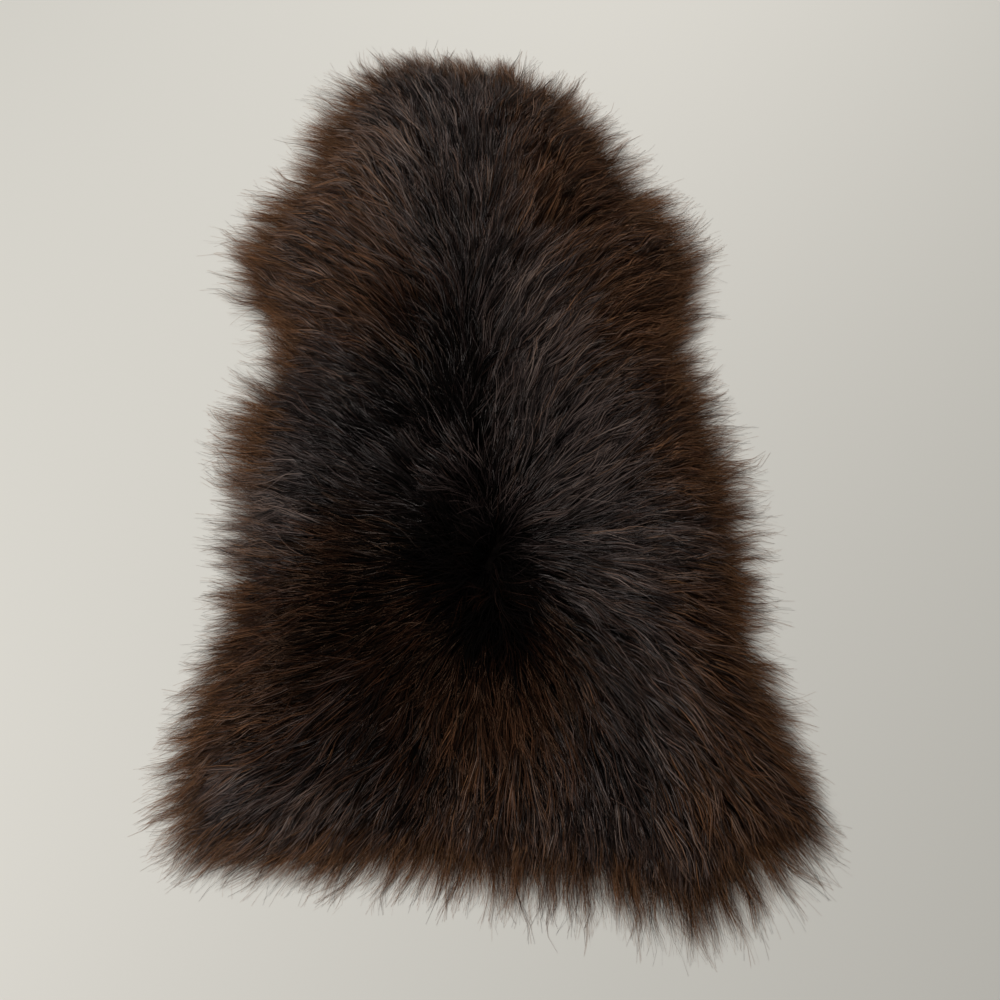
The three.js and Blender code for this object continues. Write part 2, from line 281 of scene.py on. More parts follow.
# Share of rust hairs among the brown ones
RUST = np.array([
    (-205, 225, 120, 0.58), (-200, 400, 110, 0.42), (125, 380, 105, 1.2), (225, 195, 100, 1.2),
    (260, 0, 65, 0.9), (255, -190, 75, 0.3), (285, -300, 70, 0.6), (300, -420, 80, 0.65),
    (225, -480, 80, 0.3), (-215, -225, 110, 1.0), (-68, -262, 80, 0.9), (0, -380, 120, 0.85),
    (65, -285, 90, 0.6), (-180, -440, 110, 0.3), (-310, -340, 75, 0.6), (-335, 10, 45, 0.6),
    (-190, -125, 55, 0.5), (-285, -70, 65, -0.5), (-315, -150, 50, -0.5), (-140, 170, 75, 0.5),
    (285, -70, 45, 0.5), (292, -200, 45, 0.5), (45, 510, 55, 0.45), (240, 75, 40, 0.3),
], dtype=[("x", float), ("y", float), ("radius", float), ("share", float)])

# Camera of the photograph: place in metres and turns in degrees
CAMERA_PLACE = (-0.02, -0.445, 1.1818)
CAMERA_PITCH = 72.337  # below the horizon
CAMERA_YAW = 4.935  # to the right of +Y
CAMERA_ROLL = -5.320
SENSOR = 36
LENS = 36

# Floor and lights, whose rows give name, place and size in metres, and power
FLOOR_HALF = 15000
FLOOR_LEVEL = -0.2
FLOOR_COLOUR = (0.725, 0.705, 0.645, 1)
LIGHTS = (
    ("window", (0.4, 1.8, 1.9), 0.5, 31.5),
    ("fill", (-1.8, -0.9, 2.2), 0.9, 49.5),
)
AMBIENT_COLOUR = (1.0, 1.0, 1.0, 1)
AMBIENT_STRENGTH = 0.12

SEED = 5
rng = np.random.default_rng(SEED)


# Plan of the skin


def rim_samples():
    """Evenly spaced points on a smooth closed curve through the rim table, with the reach at each."""
    rows = np.stack([RIM["x"], RIM["y"], RIM["reach"]], axis=1)
    a, b, c, d = (np.roll(rows, shift, 0)[:, None, :] for shift in (1, 0, -1, -2))
    t = np.linspace(0, 1, CURVE_STEPS, endpoint=False)[None, :, None]
    curve = 0.5 * (2 * b + (c - a) * t + (2 * a - 5 * b + 4 * c - d) * t**2 + (3 * b - a - 3 * c + d) * t**3)
    curve = curve.reshape(-1, 3)
    closed = np.vstack([curve, curve[:1]])
    length = np.concatenate([[0], np.cumsum(np.hypot(*np.diff(closed[:, :2], axis=0).T))])
    wanted = np.linspace(0, length[-1], RIM_STEPS, endpoint=False)
    return np.stack([np.interp(wanted, length, closed[:, k]) for k in range(3)], axis=1)


rim = rim_samples()


def inside_rim(x, y):
    """True where a point lies inside the rim, by counting crossings."""
    inside = np.zeros(x.shape, bool)
    for (ax, ay, _), (bx, by, _) in zip(rim, np.roll(rim, -1, 0)):
        if ay != by:
            inside ^= ((ay > y) != (by > y)) & (x < (bx - ax) * (y - ay) / (by - ay) + ax)
    return inside


def between(grid, i, j, u, v):
    """Value between four neighbouring points of a grid, at the shares u and v from the first of them."""
    low = grid[i, j] * (1 - u) + grid[i + 1, j] * u
    high = grid[i, j + 1] * (1 - u) + grid[i + 1, j + 1] * u
    return low * (1 - v) + high * v


class PlanGrid:
    """Values worked out once on a grid over the skin and read between its points."""

    STEP = 5.0
    LOW = (-470.0, -690.0)
    SIZE = (189, 277)
    LAST = 1.001  # how far from the grid's end it is still read

    def __init__(self):
        columns = self.LOW[0] + self.STEP * np.arange(self.SIZE[0])
        rows = self.LOW[1] + self.STEP * np.arange(self.SIZE[1])
        x, y = np.meshgrid(columns, rows, indexing="ij")
        self.depth, self.reach = self.rim_distance(x, y)
        self.parting, away_x, away_y = self.parting_share(x, y)
        self.east, self.north = self.combed(x, y)
        self.east = self.east + PARTING_PUSH * self.parting * away_x
        self.north = self.north + PARTING_PUSH * self.parting * away_y

    @staticmethod
    def rim_distance(x, y):
        """Distance to the rim, positive inside it, and the reach of the locks at the nearest point."""
        nearest = np.full(x.shape, np.inf)
        reach = np.zeros(x.shape)
        for px, py, there in rim:
            distance = np.hypot(x - px, y - py)
            closer = distance < nearest
            nearest[closer] = distance[closer]
            reach[closer] = there
        return np.where(inside_rim(x, y), nearest, -nearest), reach

    @staticmethod
    def parting_share(x, y):
        """1 on the parting, falling to 0 beside it, and the direction away from it."""
        nearest = np.full(x.shape, np.inf)
        away_x = np.zeros(x.shape)
        away_y = np.zeros(x.shape)
        for (ax, ay), (bx, by) in [ends for line in PARTINGS for ends in zip(line, line[1:])]:
            along = ((x - ax) * (bx - ax) + (y - ay) * (by - ay)) / ((bx - ax) ** 2 + (by - ay) ** 2)
            along = np.clip(along, 0, 1)
            off_x = x - ax - along * (bx - ax)
            off_y = y - ay - along * (by - ay)
            distance = np.hypot(off_x, off_y)
            closer = distance < nearest
            nearest = np.where(closer, distance, nearest)
            away_x = np.where(closer, off_x / np.maximum(distance, 1), away_x)
            away_y = np.where(closer, off_y / np.maximum(distance, 1), away_y)
        return np.exp(-((nearest / PARTING_WIDTH) ** 2)), away_x, away_y

    @staticmethod
    def combed(x, y):
        """Direction in which the wool is combed: the readings round a point, the nearest counting most."""
        east = np.zeros(x.shape)
        north = np.zeros(x.shape)
        for table in (RIM, COMB):
            for row in table:
                spread = (x - row["x"]) ** 2 + (y - row["y"]) ** 2 + COMB_REACH**2
                east += math.cos(math.radians(row["heading"])) / spread**2
                north += math.sin(math.radians(row["heading"])) / spread**2
        size = np.hypot(east, north)
        return east / size, north / size

    def read(self, values, x, y):
        """Values at any places of the plan."""
        u = np.clip((x - self.LOW[0]) / self.STEP, 0, self.SIZE[0] - self.LAST)
        v = np.clip((y - self.LOW[1]) / self.STEP, 0, self.SIZE[1] - self.LAST)
        i = u.astype(int)
        j = v.astype(int)
        return between(values, i, j, u - i, v - j)


plan = PlanGrid()


def combed_heading(x, y):
    """Heading of the combing in radians from +X."""
    return np.arctan2(plan.read(plan.north, x, y), plan.read(plan.east, x, y))


def eased(share):
    """A share that leaves 0 and reaches 1 gently."""
    return share * share * (3 - 2 * share)


def smooth_noise(x, y, drift):
    """Random field of the drift's size to each side of 0, which changes over about its pitch."""
    size, pitch = drift
    cells = 96
    grid = rng.uniform(-1, 1, (cells, cells))
    u = x / pitch + cells / 2
    v = y / pitch + cells / 2
    i = np.floor(u).astype(int)
    j = np.floor(v).astype(int)
    return size * between(grid, i % (cells - 1), j % (cells - 1), eased(u - i), eased(v - j))


def bumps(table, column, x, y):
    """Soft round bumps of a table, each as high as its column says."""
    total = np.zeros(np.shape(x))
    for row in table:
        spread = ((x - row["x"]) ** 2 + (y - row["y"]) ** 2) / row["radius"] ** 2
        total += row[column] * np.exp(-spread)
    return total


def dome(depth):
    """0 at the rim and 1 past the shoulder."""
    return 1 - (1 - np.clip(depth / SHOULDER, 0, 1)) ** ROUNDING


def valley_depth(x, y):
    """How far the wool sinks in its valleys."""
    return np.minimum(bumps(VALLEYS, "depth", x, y), DEEPEST_VALLEY)


def wool_height(x, y):
    """Top of the wool, inside the rim and out along the locks that lie on the floor."""
    depth = plan.read(plan.depth, x, y)
    reach = plan.read(plan.reach, x, y)
    valley = valley_depth(x, y) + PARTING_DEPTH * plan.read(plan.parting, x, y)
    inside = RIM_HEIGHT + (LOFT - RIM_HEIGHT - valley) * dome(depth)
    outside = RIM_HEIGHT * np.clip(1 + depth / reach, 0, 1)
    return np.where(depth > 0, inside, outside)


def underwool_height(x, y):
    """Top of the under-wool inside the hide's edge."""
    depth = plan.read(plan.depth, x, y) - HIDE_INSET
    loft = LOFT * UNDERWOOL_SHARE - UNDERWOOL_EDGE - UNDERWOOL_VALLEY * valley_depth(x, y)
    return UNDERWOOL_EDGE + loft * dome(depth)


def hide_height(x, y):
    """Top of the hide, which is level."""
    return np.full(x.shape, HIDE_TOP)


# Meshes


def new_object(name, points, faces, materials):
    """A smooth mesh in the scene, from points in millimetres."""
    mesh = bpy.data.meshes.new(name)
    mesh.from_pydata(points * MM, [], faces)
    for material in materials:
        mesh.materials.append(material)
    mesh.shade_smooth()
    made = bpy.data.objects.new(name, mesh)
    bpy.context.scene.collection.objects.link(made)
    return made


def inset_rim(inset):
    """The rim moved inward along its normals."""
    along = np.roll(rim[:, :2], -NORMAL_SPAN, 0) - np.roll(rim[:, :2], NORMAL_SPAN, 0)
    inward = np.stack([-along[:, 1], along[:, 0]], axis=1)
    return rim[:, :2] + inset * inward / np.linalg.norm(inward, axis=1, keepdims=True)


def spine_faces(plan_y, first):
    """Triangles that join the right and left sides of the last ring along the spine."""
    right = 0
    left = len(plan_y) - 1
    faces = []
    while left - right > 1:
        if plan_y[right + 1] < plan_y[left - 1]:
            faces.append((first + right, first + right + 1, first + left))
            right += 1
        else:
            faces.append((first + right, first + left - 1, first + left))
            left -= 1
    return faces


def ringed_slab(name, edge, rings, top_height, bottom, materials):
    """A closed slab inside an edge: rings of points lead to the spine over the top and under the bottom."""
    count = len(edge)
    angle = np.arctan2(edge[:, 1] * WIDTH_TO_LENGTH, edge[:, 0])
    spine = np.stack([SPINE_HALF_WIDTH * np.cos(angle), SPINE_HALF_LENGTH * np.sin(angle)], axis=1)
    shares = np.linspace(0, 1, rings)[:, None, None]
    flat = (edge * (1 - shares) + spine * shares).reshape(-1, 2)
    top = np.column_stack([flat, top_height(flat[:, 0], flat[:, 1])])
    under = np.column_stack([flat, np.full(len(flat), bottom)])
    this = np.arange(count)
    following = np.roll(this, -1)
    faces = []
    for outer in range(0, (rings - 1) * count, count):
        inner = outer + count
        faces.append(np.stack([outer + this, outer + following, inner + following, inner + this], axis=1))
    faces = np.concatenate(faces)
    below = len(flat)
    wall = np.stack([below + this, below + following, following, this], axis=1)
    quads = np.concatenate([faces, faces[:, ::-1] + below, wall]).tolist()
    last = (rings - 1) * count
    zipped = spine_faces(flat[last:, 1], last)
    under_zip = [(c + below, b + below, a + below) for a, b, c in zipped]
    return new_object(name, np.concatenate([top, under]), quads + zipped + under_zip, materials)


# Locks


def scattered(pitch, inset):
    """Places on a staggered grid over the skin, each pushed a little off its point."""
    columns = np.arange(-FIELD_HALF_WIDTH, FIELD_HALF_WIDTH, pitch)
    rows = np.arange(-FIELD_HALF_LENGTH, FIELD_HALF_LENGTH, pitch * math.sin(math.pi / 3))
    x, y = np.meshgrid(columns, rows, indexing="ij")
    x = x + (np.arange(len(rows)) % 2) * pitch / 2
    x = (x + rng.uniform(-JITTER, JITTER, x.shape) * pitch).ravel()
    y = (y + rng.uniform(-JITTER, JITTER, y.shape) * pitch).ravel()
    kept = plan.read(plan.depth, x, y) > inset
    return x[kept], y[kept]


def tuft_table():
    """One row for each tuft: its place and how it differs from the tufts round it."""
    x, y = scattered(TUFT_PITCH, 0)
    count = len(x)
    return {
        "x": x,
        "y": y,
        "turn": TUFT_TURN * rng.normal(size=count),
        "lift": TUFT_LIFT * rng.normal(size=count),
        "length": TUFT_LENGTH * rng.normal(size=count),
        "tone": TUFT_TONE * rng.normal(size=count),
        "pull": rng.uniform(*TUFT_PULL, count),
        "wave": rng.uniform(*TUFT_WAVE, count),
        "wave_length": rng.uniform(*TUFT_WAVE_LENGTH, count),
        "phase": rng.uniform(0, FULL_TURN, count),
    }


def tufts_round(x, y):
    """The row of the tuft nearest to each place."""
    tufts = tuft_table()
    nearest = np.argmin((x[:, None] - tufts["x"]) ** 2 + (y[:, None] - tufts["y"]) ** 2, axis=1)
    return {name: values[nearest] for name, values in tufts.items()}


def lock_roots():
    """Places of the locks, then those of the fringe's groups of hairs, and which are fringe."""
    x, y = scattered(LOCK_PITCH, HIDE_INSET)
    fringe_x, fringe_y = scattered(FRINGE_PITCH, HIDE_INSET)
    in_band = plan.read(plan.depth, fringe_x, fringe_y) < FRINGE_BAND
    fringe = np.repeat([False, True], [len(x), in_band.sum()])
    x = np.concatenate([x, fringe_x[in_band]])
    y = np.concatenate([y, fringe_y[in_band]])
    return x, y, fringe


def calmed(lock, calm):
    """Share that is left of a tuft's unevenness near the rim."""
    at_rim, on_right = calm
    return 1 - at_rim * lock["near_rim"] - on_right * lock["smooth_side"]


def lock_heading(lock, tuft):
    """Heading of a lock at its root, and how far it turns on its way."""
    x = lock["x"]
    y = lock["y"]
    heading = combed_heading(x, y)
    ahead_x = x + TURN_AHEAD * np.cos(heading)
    ahead_y = y + TURN_AHEAD * np.sin(heading)
    turn = combed_heading(ahead_x, ahead_y) - heading
    turn = (turn + math.pi) % FULL_TURN - math.pi
    heading = heading + smooth_noise(x, y, HEADING_DRIFT) + tuft["turn"] * calmed(lock, CALM_TURN)
    heading = heading + LOCK_TURN * rng.normal(size=len(x))
    return {"heading": heading, "turn": np.clip(turn, -SHARPEST_TURN, SHARPEST_TURN)}


def outward_share(x, y, heading):
    """How squarely a heading faces the rim: 1 straight at it and 0 along it."""
    slope_x = plan.read(plan.depth, x + SLOPE_SPAN, y) - plan.read(plan.depth, x - SLOPE_SPAN, y)
    slope_y = plan.read(plan.depth, x, y + SLOPE_SPAN) - plan.read(plan.depth, x, y - SLOPE_SPAN)
    steepness = np.maximum(np.hypot(slope_x, slope_y), TINY)
    return -(slope_x * np.cos(heading) + slope_y * np.sin(heading)) / steepness


def lock_reach(lock, tuft):
    """Length of a lock, no longer than takes it past the rim as far as it may reach, and how thin it is."""
    x = lock["x"]
    y = lock["y"]
    fringe = lock["fringe"]
    count = len(x)
    to_rim = lock["depth"] / np.maximum(outward_share(x, y, lock["heading"]), LEAST_OUTWARD)
    natural = 1 + smooth_noise(x, y, LENGTH_DRIFT) + tuft["length"] + LOCK_LENGTH * rng.normal(size=count)
    natural = HAIR_LENGTH * natural * (1 - UPRIGHT_SHORTER * lock["upright"])
    wisp = (rng.random(count) < WISP_SHARE) & (lock["near_rim"] > 0) & ~fringe
    loose = wisp | fringe
    past_rim = np.where(loose, rng.uniform(*LOOSE_REACH, count), rng.uniform(*DENSE_REACH, count))
    past_rim = past_rim + WISP_REACH * wisp
    longest = np.maximum(to_rim + plan.read(plan.reach, x, y) * past_rim, SHORTEST_LOCK * HAIR_LENGTH)
    return {
        "length": np.minimum(natural, longest),
        "loose": loose,
        "thinness": np.where(fringe, FRINGE_THINNESS, np.where(wisp, WISP_THINNESS, 1.0)),
    }


def lock_angle(lock, angles):
    """Slope of a lock's root or tip in radians."""
    at_rim, on_loft, standing = angles
    return np.radians(at_rim + on_loft * dome(lock["depth"]) + standing * lock["upright"])


def lock_stance(lock, tuft):
    """How a lock stands: its slopes, its height and how its hairs draw together."""
    x = lock["x"]
    y = lock["y"]
    heading = lock["heading"]
    count = len(x)
    lift = rng.uniform(*LOCK_LIFT, count) + smooth_noise(x, y, LIFT_DRIFT) + tuft["lift"]
    is_open = rng.random(count) < OPEN_LOCKS
    gather = np.where(is_open, rng.uniform(*OPEN_GATHER, count), rng.uniform(*TIGHT_GATHER, count))
    return {
        "lift": lift,
        "gather": gather * calmed(lock, CALM_GATHER) * ~lock["fringe"],
        "start_angle": lock_angle(lock, ROOT_ANGLE),
        "end_angle": lock_angle(lock, TIP_ANGLE),
        "aside": (y - tuft["y"]) * np.cos(heading) - (x - tuft["x"]) * np.sin(heading),
        "pull": tuft["pull"] * calmed(lock, CALM_PULL),
    }


def lock_colour(lock, tuft):
    """Tone of a lock, its share of rust hairs and how matt it is, taken where it shows."""
    x = lock["x"]
    y = lock["y"]
    loose = lock["loose"]
    seen = SEEN_SHARE * lock["length"]
    end_x = x + seen * np.cos(lock["heading"])
    end_y = y + seen * np.sin(lock["heading"])
    at_rim = 1 - np.clip(plan.read(plan.depth, end_x, end_y) / TIP_BAND, 0, 1)
    tint = bumps(TINTS, "tint", end_x, end_y)
    # the partings take painted shade, a darker tone along them
    tone = BASE_TONE + tint + RIM_TONE * at_rim - PAINTED_PARTING_SHADE * lock["parting"] + tuft["tone"]
    tone = tone + smooth_noise(x, y, TONE_DRIFT) + LOCK_TONE * rng.normal(size=len(x))
    return {
        "tone": tone + LOOSE_TONE * loose * at_rim,
        "rust": BASE_RUST + bumps(RUST, "share", end_x, end_y) + (RIM_RUST + LOOSE_RUST * loose) * at_rim,
        "matt": np.clip(lock["upright"] - MATT_TINT * np.minimum(tint, 0), 0, 1),
    }


def lock_waves(lock, tuft):
    """Waves along a lock and its bend to one side."""
    count = len(lock["x"])
    return {
        "wave": tuft["wave"] * rng.uniform(*LOCK_WAVE, count) * (1 + WAVE_AT_RIM * lock["near_rim"]),
        "wave_length": tuft["wave_length"] * rng.uniform(*LOCK_WAVE_LENGTH, count),
        "phase": tuft["phase"] + LOCK_PHASE * rng.normal(size=count),
        "bend": LOCK_BEND * rng.normal(size=count),
    }


def lock_table():
    """One row for each lock: its root and how its hairs lie."""
    x, y, fringe = lock_roots()
    tuft = tufts_round(x, y)
    depth = plan.read(plan.depth, x, y)
    near_rim = 1 - np.clip(depth / RIM_BAND, 0, 1)
    parting = plan.read(plan.parting, x, y)
    in_valley = np.clip(bumps(VALLEYS, "depth", x, y) / UPRIGHT_VALLEY, 0, 1) ** 2
    lock = {
        "x": x,
        "y": y,
        "fringe": fringe,
        "depth": depth,
        "near_rim": near_rim,
        "smooth_side": np.clip(x / SIDE_WIDTH, -1, 1) * near_rim,
        "parting": parting,
        "upright": np.clip(in_valley + UPRIGHT_PARTING * parting, 0, 1),
        "spread": np.where(fringe, FRINGE_SPREAD, LOCK_SPREAD),
        "scatter": np.where(fringe, FRINGE_SCATTER, LOCK_SCATTER),
    }
    for columns in (lock_heading, lock_reach, lock_stance, lock_colour, lock_waves):
        lock.update(columns(lock, tuft))
    return lock


# Hairs


def hair_lie(locks):
    """One row for each hair: its lock's row, with what differs from hair to hair in how it lies."""
    which = np.repeat(np.arange(len(locks["x"])), HAIRS_A_LOCK)
    hair = {name: values[which] for name, values in locks.items()}
    count = len(which)
    stray = rng.random(count) < STRAY_SHARE
    hair["stray"] = stray
    hair["radius"] = hair["spread"] * np.sqrt(rng.random(count))
    hair["around"] = rng.uniform(0, FULL_TURN, count)
    hair["gather"] = np.where(stray, rng.uniform(*STRAY_GATHER, count), hair["gather"])
    scatter = np.where(stray, STRAY_SCATTER, hair["scatter"]) + MATT_SCATTER * hair["matt"] ** 2
    hair["heading"] = hair["heading"] + scatter * rng.normal(size=count)
    shortest = SHORT_HAIR - SHORTER_AT_RIM * hair["near_rim"]
    hair["length"] = hair["length"] * (shortest + (LONG_HAIR - shortest) * rng.random(count))
    hair["bend"] = hair["bend"] + np.where(stray, STRAY_BEND, HAIR_BEND) * rng.normal(size=count)
    hair["swing"] = hair["wave"] * rng.uniform(*HAIR_SWING, count)
    hair["phase"] = hair["phase"] + HAIR_PHASE * rng.normal(size=count)
    beside = hair["radius"] / hair["spread"] * np.sin(hair["around"] - hair["heading"])
    level = hair["lift"] * (LOCK_CROWN - LOCK_FALL * beside**2)
    hair["level"] = level + np.where(stray, STRAY_LIFT, 0) + HAIR_LIFT * rng.normal(size=count)
    return hair


def hair_looks(hair):
    """Column of the colour chart, width and kind of each hair."""
    stray = hair["stray"]
    count = len(stray)
    darker = rng.exponential(1, count) - 1
    contrast = STRAND_CONTRAST * (1 - MATT_CALM * hair["matt"])
    tone = np.clip(hair["tone"] - contrast * darker, 0, LIGHTEST)
    warmth = hair["rust"] + SHADE_MIXING * rng.uniform(-1, 1, count)
    shade = np.clip(np.floor(warmth * SHADES), 0, SHADES - 1)
    column = np.floor(tone * TONES) + TONES * shade
    width = HAIR_WIDTH * rng.uniform(*WIDTH_RANGE, count) * np.where(stray, STRAY_THINNESS, 1)
    width = width * hair["thinness"]
    kind = np.where(rng.random(count) < MATT_SHARE * hair["matt"], MATT, shade)
    return column, width, kind


def hair_paths(hair):
    """Points along every hair, kept under the top of the wool and above the floor."""
    tall = {name: values[:, None] for name, values in hair.items()}
    share = HAIR_SHARES[None, :]
    middle = (share[:, 1:] + share[:, :-1]) / 2
    step = np.diff(share, axis=1) * tall["length"]
    slope = tall["start_angle"] * (1 - middle) + tall["end_angle"] * middle
    slope = slope + np.where(tall["stray"], STRAY_SLOPE, 0.0)
    turning = tall["heading"] + (tall["turn"] + tall["bend"]) * middle
    level_step = np.cos(slope)
    ahead = np.stack([level_step * np.cos(turning), level_step * np.sin(turning), np.sin(slope)], axis=2)
    start = np.zeros((len(step), 1, 3))
    path = np.concatenate([start, np.cumsum(ahead * step[:, :, None], axis=1)], axis=1)
    offset = np.stack([np.cos(hair["around"]), np.sin(hair["around"])], axis=1) * tall["radius"]
    path[:, :, :2] += offset[:, None, :] * (1 - tall["gather"] * share)[:, :, None]
    travelled = share * tall["length"] / tall["wave_length"] * FULL_TURN
    aside = tall["swing"] * share**WAVE_GROWTH * np.sin(travelled + tall["phase"])
    aside = aside - np.where(tall["stray"], STRAY_PULL, tall["pull"]) * tall["aside"] * share**PULL_GROWTH
    path[:, :, 0] += tall["x"] - aside * np.sin(tall["heading"])
    path[:, :, 1] += tall["y"] + aside * np.cos(tall["heading"])
    root = underwool_height(path[:, 0, 0], path[:, 0, 1]) - ROOT_DEPTH
    path[:, :, 2] += root[:, None]
    ceiling = wool_height(path[:, :, 0], path[:, :, 1]) * tall["level"]
    path[:, :, 2] = np.maximum(np.minimum(path[:, :, 2], ceiling), FLOOR_CLEARANCE)
    return path


def ribbon_points(path, width):
    """The two edges of each hair's ribbon and their normals, which lean apart as on a round hair."""
    ahead = np.gradient(path, axis=1)
    ahead /= np.linalg.norm(ahead, axis=2, keepdims=True)
    side = np.cross(ahead, np.array([0.0, 0.0, 1.0]))
    side /= np.maximum(np.linalg.norm(side, axis=2, keepdims=True), TINY)
    up = np.cross(side, ahead)
    roll = rng.normal(0, RIBBON_ROLL, len(path))[:, None, None]
    across = np.cos(roll) * side + np.sin(roll) * up
    face = np.cross(across, ahead)
    half = 0.5 * np.maximum(width[:, None] * (1 - HAIR_SHARES[None, :] ** TAPER), TIP_WIDTH)[:, :, None]
    edges = np.stack([path - across * half, path + across * half], axis=2)
    edges[..., 2] = np.maximum(edges[..., 2], EDGE_CLEARANCE)
    lean = math.sin(ROUND_SHADING) * across
    facing = math.cos(ROUND_SHADING) * face
    normals = np.stack([facing - lean, facing + lean], axis=2)
    return edges, normals


def chart_places(column):
    """Where the points of every ribbon lie on the colour chart: the tone across and the length up."""
    places = np.zeros((len(column), len(HAIR_SHARES), 2, 2))
    for side, place in enumerate(COLUMN_SIDES):
        places[:, :, side, 0] = ((column + place) / (SHADES * TONES))[:, None]
    places[..., 1] = CHART_FOOT + CHART_HEIGHT * HAIR_SHARES[None, :, None]
    return places.reshape(-1, 2)


def hair_piece(name, edges, normals, column, kind, materials):
    """One mesh of ribbons, with its places on the colour chart."""
    count, steps = edges.shape[:2]
    first = (np.arange(count) * steps * 2)[:, None] + (np.arange(steps - 1) * 2)[None, :]
    quads = np.stack([first, first + 1, first + 3, first + 2], axis=2).reshape(-1, 4)
    made = new_object(name, edges.reshape(-1, 3), quads, materials)
    mesh = made.data
    mesh.polygons.foreach_set("material_index", np.repeat(kind.astype(np.int32), steps - 1))
    layer = mesh.uv_layers.new(name=CHART_LAYER)
    layer.uv.foreach_set("vector", chart_places(column)[quads.ravel()].astype(np.float32).ravel())
    mesh.normals_split_custom_set_from_vertices(normals.reshape(-1, 3))
    return made


# Materials


def new_material(name, roughness, specular, sheen=SHEEN_TINT):
    """A material with its node tree and its shader."""
    material = bpy.data.materials.new(name)
    material.use_nodes = True
    shader = material.node_tree.nodes["Principled BSDF"]
    shader.inputs["Roughness"].default_value = roughness
    shader.inputs["Specular IOR Level"].default_value = specular
    shader.inputs["Specular Tint"].default_value = sheen
    return material, material.node_tree, shader


def colour_ramp(tree, stops):
    """A ramp with a colour at each stop."""
    ramp = tree.nodes.new("ShaderNodeValToRGB")
    elements = ramp.color_ramp.elements
    while len(elements) < len(stops):
        elements.new(0.5)
    for element, (place, colour) in zip(elements, stops):
        element.position = place
        element.color = (*colour, 1)
    return ramp


def noise_node(tree, scale, detail=2):
    """Noise with about so many features across a piece."""
    noise = tree.nodes.new("ShaderNodeTexNoise")
    noise.inputs["Scale"].default_value = scale
    noise.inputs["Detail"].default_value = detail
    return noise


def mix_colours(tree, blend, first, second):
    """Two colours in one."""
    mix = tree.nodes.new("ShaderNodeMix")
    mix.data_type = "RGBA"
    mix.blend_type = blend
    mix.inputs["Factor"].default_value = 1
    tree.links.new(first, mix.inputs["A"])
    tree.links.new(second, mix.inputs["B"])
    return mix.outputs["Result"]


def tone_stops():
    """Stops of the colour chart: a band of tones for each shade, umber lying half way between the others."""
    umber = (np.array(BROWN_TONES) + np.array(RUST_TONES)) / 2
    stops = []
    for band, tones in enumerate((BROWN_TONES, umber, RUST_TONES)):
        places = np.linspace(band / SHADES + BAND_GAP, (band + 1) / SHADES, len(tones))
        stops += [(float(place), tuple(colour)) for place, colour in zip(places, tones)]
    return stops


def hair_material(name, roughness, specular, sheen):
    """Hair coloured by a chart: black to rust across it, and up it from roots darkened with painted shade to
    lighter tips.
    """
    material, tree, shader = new_material(name, roughness, specular, sheen)
    chart = tree.nodes.new("ShaderNodeUVMap")
    chart.uv_map = CHART_LAYER
    split = tree.nodes.new("ShaderNodeSeparateXYZ")
    tree.links.new(chart.outputs["UV"], split.inputs["Vector"])
    tones = colour_ramp(tree, tone_stops())
    # painted shade: the roots are darker, deep in the wool
    along = colour_ramp(tree, ROOT_SHADE_TO_TIP)
    tree.links.new(split.outputs["X"], tones.inputs["Fac"])
    tree.links.new(split.outputs["Y"], along.inputs["Fac"])
    colour = mix_colours(tree, "MULTIPLY", tones.outputs["Color"], along.outputs["Color"])
    tree.links.new(colour, shader.inputs["Base Color"])
    return material


def underwool_shade_material():
    """Short dense wool seen only between the locks: its own dark colour deepened to nearly black as painted
    shade between them.
    """
    material, tree, shader = new_material("underwool", roughness=1.0, specular=0.0)
    noise = noise_node(tree, scale=260, detail=6)
    # painted shade: the under-wool is coloured nearly black so that the gaps between the locks read as shade
    tones = colour_ramp(tree, [(0.3, (0.001, 0.0008, 0.0008)), (0.75, (0.006, 0.0042, 0.0035))])
    tree.links.new(noise.outputs["Fac"], tones.inputs["Fac"])
    tree.links.new(tones.outputs["Color"], shader.inputs["Base Color"])
    return material


def hide_material():
    """Tanned suede with soft cloudy stains and a fine nap."""
    material, tree, shader = new_material("suede", roughness=0.92, specular=0.15)
    clouds = noise_node(tree, scale=7, detail=8)
    tones = colour_ramp(tree, [
        (0.3, (0.38, 0.27, 0.18)),
        (0.5, (0.5, 0.38, 0.27)),
        (0.7, (0.58, 0.47, 0.35)),
    ])
    tree.links.new(clouds.outputs["Fac"], tones.inputs["Fac"])
    tree.links.new(tones.outputs["Color"], shader.inputs["Base Color"])
    nap = noise_node(tree, scale=900)
    bump = tree.nodes.new("ShaderNodeBump")
    bump.inputs["Strength"].default_value = 0.25
    bump.inputs["Distance"].default_value = 0.0004
    tree.links.new(nap.outputs["Fac"], bump.inputs["Height"])
    tree.links.new(bump.outputs["Normal"], shader.inputs["Normal"])
    return material


# Camera, floor and light


def add_camera():
    """The photograph's camera."""
    pitch, yaw, roll = (math.radians(v) for v in (CAMERA_PITCH, CAMERA_YAW, CAMERA_ROLL))
    ahead = np.array([math.sin(yaw) * math.cos(pitch), math.cos(yaw) * math.cos(pitch), -math.sin(pitch)])
    level = np.array([math.cos(yaw), -math.sin(yaw), 0.0])
    down = np.cross(ahead, level)
    right = math.cos(roll) * level + math.sin(roll) * down
    below = -math.sin(roll) * level + math.cos(roll) * down
    data = bpy.data.cameras.new("camera")
    data.sensor_width = SENSOR
    data.lens = LENS
    camera = bpy.data.objects.new("camera", data)
    turn = Matrix([[right[k], -below[k], -ahead[k]] for k in range(3)]).to_4x4()
    camera.matrix_world = Matrix.Translation(CAMERA_PLACE) @ turn
    bpy.context.scene.collection.objects.link(camera)
    bpy.context.scene.camera = camera


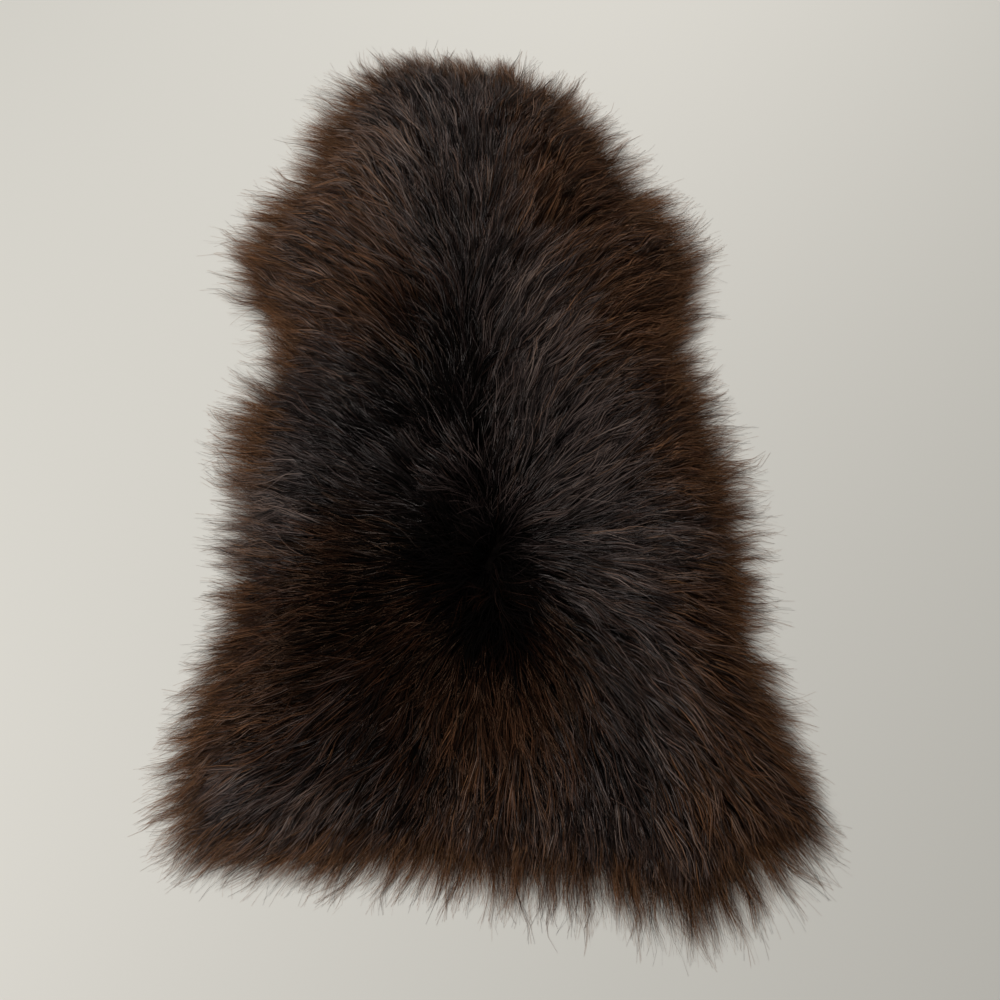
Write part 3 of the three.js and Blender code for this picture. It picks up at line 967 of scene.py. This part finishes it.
def add_floor():
    """A plain pale floor."""
    material, _, shader = new_material("floor", roughness=0.6, specular=0.3)
    shader.inputs["Base Color"].default_value = FLOOR_COLOUR
    corners = np.array([(x, y, FLOOR_LEVEL) for x, y in ((-1, -1), (1, -1), (1, 1), (-1, 1))])
    corners[:, :2] *= FLOOR_HALF
    floor = new_object("floor", corners, [(0, 1, 2, 3)], [material])


def add_light(name, place, size, power):
    """A round soft light that faces the middle of the skin."""
    data = bpy.data.lights.new(name, "AREA")
    data.shape = "DISK"
    data.size = size
    data.energy = power
    light = bpy.data.objects.new(name, data)
    light.location = place
    light.rotation_mode = "QUATERNION"
    light.rotation_quaternion = Vector(place).to_track_quat("Z", "Y")
    bpy.context.scene.collection.objects.link(light)


def add_lights():
    """The two lights and a faint even light all round."""
    for row in LIGHTS:
        add_light(*row)
    world = bpy.data.worlds.new("studio")
    world.use_nodes = True
    background = world.node_tree.nodes["Background"]
    background.inputs["Color"].default_value = AMBIENT_COLOUR
    background.inputs["Strength"].default_value = AMBIENT_STRENGTH
    bpy.context.scene.world = world
    bpy.context.scene.view_settings.view_transform = "Standard"


# The skin


def build_wool():
    """The hairs as pieces of equal count from head to tail."""
    hair = hair_lie(lock_table())
    column, width, kind = hair_looks(hair)
    path = hair_paths(hair)
    edges, normals = ribbon_points(path, width)
    materials = [hair_material(*row) for row in HAIR_FINISH]
    order = np.argsort(-path[:, 0, 1], kind="stable")
    wool = []
    for name, rows in zip(WOOL_PIECES, np.array_split(order, len(WOOL_PIECES))):
        wool.append(hair_piece(name, edges[rows], normals[rows], column[rows], kind[rows], materials))
    return wool


def build_skin():
    """The hide with its under-wool and wool, all riding together in place of the solid."""
    edge = inset_rim(HIDE_INSET)[::EDGE_EVERY]
    hide = ringed_slab("hide", edge, HIDE_RINGS, hide_height, HIDE_LIFT, [hide_material()])
    underwool_foot = HIDE_TOP + UNDERWOOL_GAP
    dark = [underwool_shade_material()]
    underwool = ringed_slab("underwool", edge, UNDERWOOL_RINGS, underwool_height, underwool_foot, dark)
    wool = build_wool()
    for piece in (underwool, *wool):
        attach(piece, "root")
        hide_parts("sheepskin")
    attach(hide, "root")
    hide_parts("sheepskin")


add_camera()
add_floor()
add_lights()
build_skin()
